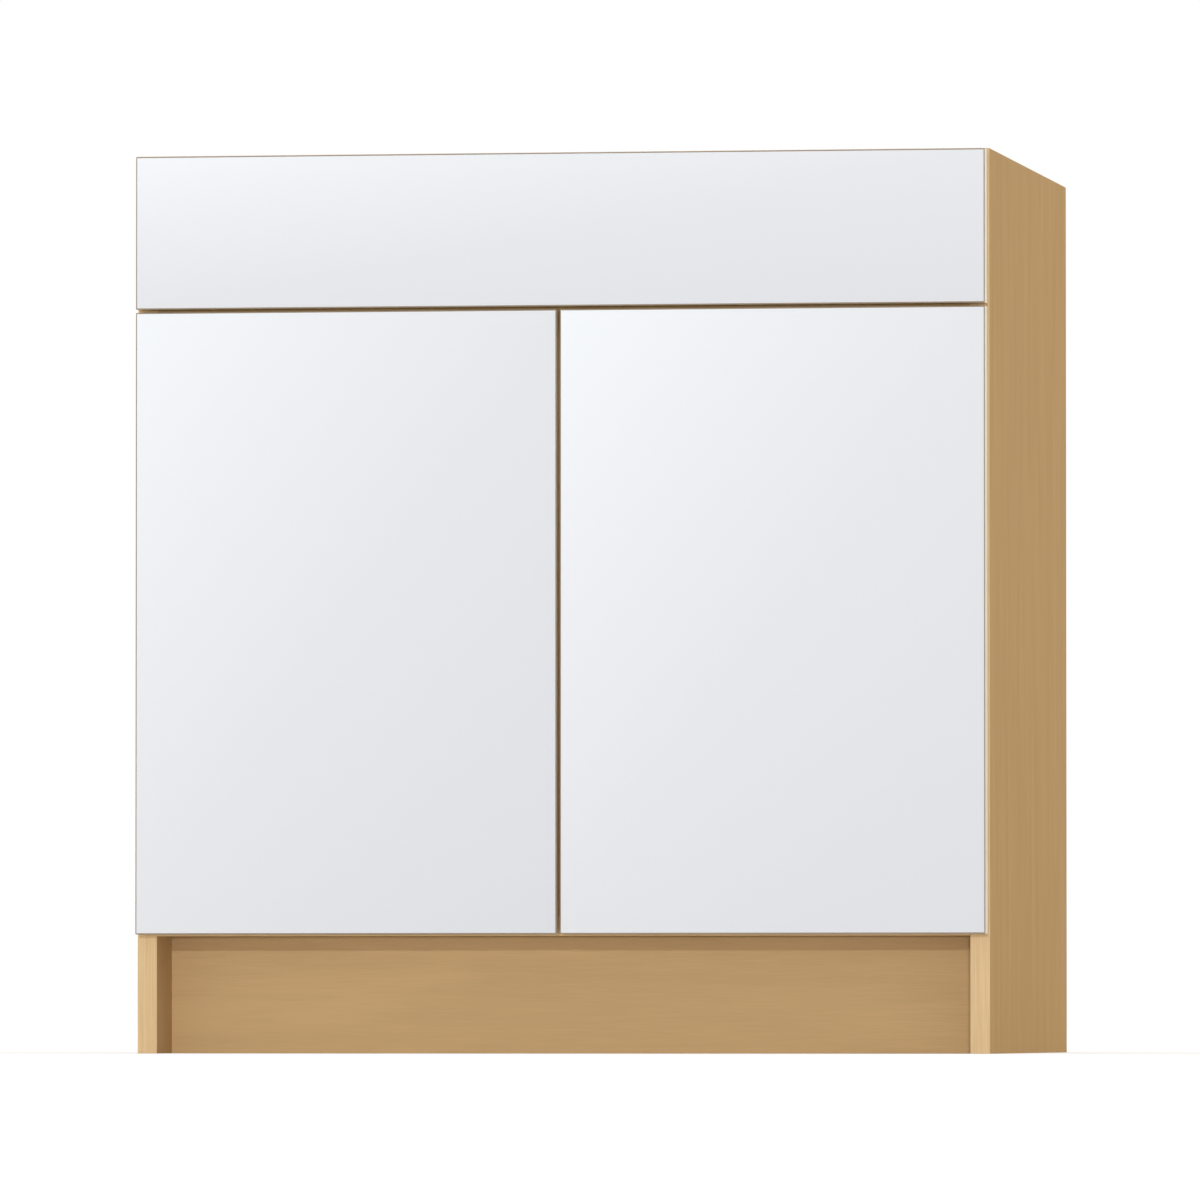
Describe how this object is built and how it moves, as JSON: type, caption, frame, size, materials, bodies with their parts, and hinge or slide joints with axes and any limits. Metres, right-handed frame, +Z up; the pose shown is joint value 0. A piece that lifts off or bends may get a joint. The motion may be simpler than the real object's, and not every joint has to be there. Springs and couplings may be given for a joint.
{
  "type": "sink base cabinet",
  "caption": "Frameless sink base cabinet with an open top, a fixed false front, slab doors on concealed hinges and a recessed toe board.",
  "frame": {"origin": "on the floor, at the middle of the whole cabinet's box with its doors shut", "axes": "+X to the right seen from the front, +Y from the front to the wall, +Z up; the fronts face -Y"},
  "size_m": [0.8382, 0.6306, 0.8763],
  "materials": {
    "panel_board": "satin maple-look veneered board",
    "edge_band": "satin, paler edge band",
    "white_front": "gloss white laminate on a board core",
    "front_edge_band": "thin grey edge band",
    "brace_plastic": "moulded, matt",
    "hinge_steel": "nickel plated",
    "zinc_screw": "zinc plated",
    "clear_bumper": "clear soft pad"
  },
  "bodies": {
    "cabinet": {"left_side_panel": "panel_board", "left_side_edge_band": "edge_band", "right_side_panel": "panel_board", "right_side_edge_band": "edge_band", "bottom_panel": "panel_board", "back_panel": "panel_board", "sink_rail": "panel_board", "rear_top_nailer": "panel_board", "rear_bottom_nailer": "panel_board", "toe_kick_board": "panel_board", "rear_sleeper": "panel_board", "left_toe_kick_cleat": "panel_board", "right_toe_kick_cleat": "panel_board", "bottom_panel_edge_band": "edge_band", "sink_rail_edge_band": "edge_band", "left_front_corner_brace": "brace_plastic", "left_rear_corner_brace": "brace_plastic", "right_front_corner_brace": "brace_plastic", "right_rear_corner_brace": "brace_plastic", "false_front_panel": "white_front", "false_front_edge_band": "front_edge_band", "false_front_screw_1": "zinc_screw", "false_front_screw_2": "zinc_screw", "false_front_screw_3": "zinc_screw", "false_front_screw_4": "zinc_screw", "false_front_upper_left_bumper": "clear_bumper", "false_front_upper_right_bumper": "clear_bumper", "false_front_lower_left_bumper": "clear_bumper", "false_front_lower_right_bumper": "clear_bumper", "left_upper_hinge_plate": "hinge_steel", "left_upper_hinge_arm": "hinge_steel", "left_lower_hinge_plate": "hinge_steel", "left_lower_hinge_arm": "hinge_steel", "right_upper_hinge_plate": "hinge_steel", "right_upper_hinge_arm": "hinge_steel", "right_lower_hinge_plate": "hinge_steel", "right_lower_hinge_arm": "hinge_steel"},
    "left_door": {"left_door_panel": "white_front", "left_door_edge_band": "front_edge_band", "left_upper_hinge_cup": "hinge_steel", "left_door_upper_bumper": "clear_bumper", "left_lower_hinge_cup": "hinge_steel", "left_door_lower_bumper": "clear_bumper"},
    "left_inner_links": {"left_upper_hinge_inner_link": "hinge_steel", "left_lower_hinge_inner_link": "hinge_steel"},
    "left_outer_links": {"left_upper_hinge_outer_link": "hinge_steel", "left_lower_hinge_outer_link": "hinge_steel"},
    "right_door": {"right_door_panel": "white_front", "right_door_edge_band": "front_edge_band", "right_upper_hinge_cup": "hinge_steel", "right_door_upper_bumper": "clear_bumper", "right_lower_hinge_cup": "hinge_steel", "right_door_lower_bumper": "clear_bumper"},
    "right_inner_links": {"right_upper_hinge_inner_link": "hinge_steel", "right_lower_hinge_inner_link": "hinge_steel"},
    "right_outer_links": {"right_upper_hinge_outer_link": "hinge_steel", "right_lower_hinge_outer_link": "hinge_steel"}
  },
  "joints": [
    {"name": "left_inner_link_pivot", "type": "hinge", "parent": "cabinet", "child": "left_inner_links", "pos_m": [-0.38316, -0.28327, 0.4191], "axis": [0, 0, -1], "range_deg": [-28.4, 0]},
    {"name": "left_door_hinge", "type": "hinge", "parent": "left_inner_links", "child": "left_door", "pos_m": [-0.40684, -0.30118, 0.4191], "axis": [0, 0, -1], "range_deg": [0, 128.3]},
    {"name": "left_outer_link_pivot", "type": "hinge", "parent": "left_door", "child": "left_outer_links", "pos_m": [-0.40383, -0.30526, 0.4191], "axis": [0, 0, -1], "range_deg": [-120.6, 0]},
    {"name": "right_inner_link_pivot", "type": "hinge", "parent": "cabinet", "child": "right_inner_links", "pos_m": [0.38316, -0.28327, 0.4191], "axis": [0, 0, 1], "range_deg": [-28.4, 0]},
    {"name": "right_door_hinge", "type": "hinge", "parent": "right_inner_links", "child": "right_door", "pos_m": [0.40684, -0.30118, 0.4191], "axis": [0, 0, 1], "range_deg": [0, 128.3]},
    {"name": "right_outer_link_pivot", "type": "hinge", "parent": "right_door", "child": "right_outer_links", "pos_m": [0.40383, -0.30526, 0.4191], "axis": [0, 0, 1], "range_deg": [-120.6, 0]}
  ],
  "couplings": [
    {"joint": "left_inner_link_pivot", "follows": "left_door_hinge", "ratio": -0.22058},
    {"joint": "left_outer_link_pivot", "follows": "left_door_hinge", "ratio": -0.9392},
    {"joint": "right_inner_link_pivot", "follows": "right_door_hinge", "ratio": -0.22058},
    {"joint": "right_outer_link_pivot", "follows": "right_door_hinge", "ratio": -0.9392}
  ]
}
